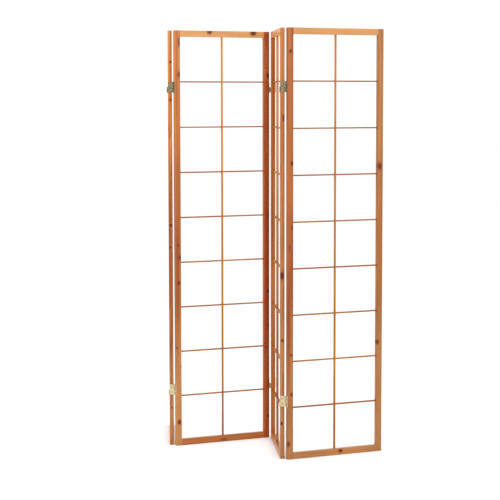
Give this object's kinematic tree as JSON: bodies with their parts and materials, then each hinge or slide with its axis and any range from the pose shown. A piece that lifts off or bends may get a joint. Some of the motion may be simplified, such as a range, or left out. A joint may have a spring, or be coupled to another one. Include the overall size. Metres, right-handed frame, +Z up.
{
  "type": "folding screen",
  "caption": "Folding room screen: pine stile-and-rail panels with an open bar lattice, joined by double-acting brass hinges, standing in a zigzag.",
  "frame": {"origin": "middle of the zigzag's footprint, on the floor", "axes": "+Z up, +X along the zigzag from panel 1 to panel 4, +Y to the back"},
  "size_m": [1.0826, 0.382, 1.78],
  "materials": {
    "pine": "orange-tan varnish, satin, knotty",
    "pine_bar": "orange-tan varnish, satin",
    "beech_dowel": "bare",
    "hinge_brass": "pressed, worn lacquer",
    "pin_brass": "drawn",
    "screw_brass": "plated"
  },
  "bodies": {
    "panel_1": {"panel_1_left_stile": "pine", "panel_1_right_stile": "pine", "panel_1_top_rail": "pine", "panel_1_bottom_rail": "pine", "panel_1_upright_bar": "pine_bar", "panel_1_cross_bars": "pine_bar", "panel_1_rail_dowels": "beech_dowel", "hinge_12_upper_left_leaf": "hinge_brass", "hinge_12_lower_left_leaf": "hinge_brass", "hinge_12_front_pins": "pin_brass", "hinge_12_left_screws": "screw_brass"},
    "panel_2": {"panel_2_left_stile": "pine", "panel_2_right_stile": "pine", "panel_2_top_rail": "pine", "panel_2_bottom_rail": "pine", "panel_2_upright_bar": "pine_bar", "panel_2_cross_bars": "pine_bar", "panel_2_rail_dowels": "beech_dowel", "hinge_12_upper_right_leaf": "hinge_brass", "hinge_12_lower_right_leaf": "hinge_brass", "hinge_12_back_pins": "pin_brass", "hinge_12_right_screws": "screw_brass", "hinge_23_upper_left_leaf": "hinge_brass", "hinge_23_lower_left_leaf": "hinge_brass", "hinge_23_front_pins": "pin_brass", "hinge_23_left_screws": "screw_brass"},
    "panel_3": {"panel_3_left_stile": "pine", "panel_3_right_stile": "pine", "panel_3_top_rail": "pine", "panel_3_bottom_rail": "pine", "panel_3_upright_bar": "pine_bar", "panel_3_cross_bars": "pine_bar", "panel_3_rail_dowels": "beech_dowel", "hinge_23_upper_right_leaf": "hinge_brass", "hinge_23_lower_right_leaf": "hinge_brass", "hinge_23_back_pins": "pin_brass", "hinge_23_right_screws": "screw_brass", "hinge_34_upper_left_leaf": "hinge_brass", "hinge_34_lower_left_leaf": "hinge_brass", "hinge_34_front_pins": "pin_brass", "hinge_34_left_screws": "screw_brass"},
    "panel_4": {"panel_4_left_stile": "pine", "panel_4_right_stile": "pine", "panel_4_top_rail": "pine", "panel_4_bottom_rail": "pine", "panel_4_upright_bar": "pine_bar", "panel_4_cross_bars": "pine_bar", "panel_4_rail_dowels": "beech_dowel", "hinge_34_upper_right_leaf": "hinge_brass", "hinge_34_lower_right_leaf": "hinge_brass", "hinge_34_back_pins": "pin_brass", "hinge_34_right_screws": "screw_brass"},
    "link_12": {"hinge_12_upper_link": "hinge_brass", "hinge_12_lower_link": "hinge_brass"},
    "link_23": {"hinge_23_upper_link": "hinge_brass", "hinge_23_lower_link": "hinge_brass"},
    "link_34": {"hinge_34_upper_link": "hinge_brass", "hinge_34_lower_link": "hinge_brass"}
  },
  "joints": [
    {"name": "fold_12_back", "type": "hinge", "parent": "panel_2", "child": "link_12", "pos_m": [-0.28084, -0.17603, 0], "axis": [0, 0, -1], "range_deg": [-111.2, 68.8]},
    {"name": "fold_12_front", "type": "hinge", "parent": "link_12", "child": "panel_1", "pos_m": [-0.29985, -0.18862, 0], "axis": [0, 0, 1], "range_deg": [0, 180]},
    {"name": "fold_23_front", "type": "hinge", "parent": "panel_2", "child": "link_23", "pos_m": [-0.00555, 0.17332, 0], "axis": [0, 0, -1], "range_deg": [-109.4, 70.6]},
    {"name": "fold_23_back", "type": "hinge", "parent": "link_23", "child": "panel_3", "pos_m": [0.01306, 0.1865, 0], "axis": [0, 0, 1], "range_deg": [0, 180]},
    {"name": "fold_34_front", "type": "hinge", "parent": "panel_3", "child": "link_34", "pos_m": [0.25114, -0.18921, 0], "axis": [0, 0, -1], "range_deg": [0, 180]},
    {"name": "fold_34_back", "type": "hinge", "parent": "link_34", "child": "panel_4", "pos_m": [0.26974, -0.17603, 0], "axis": [0, 0, 1], "range_deg": [-109.4, 70.6]}
  ]
}
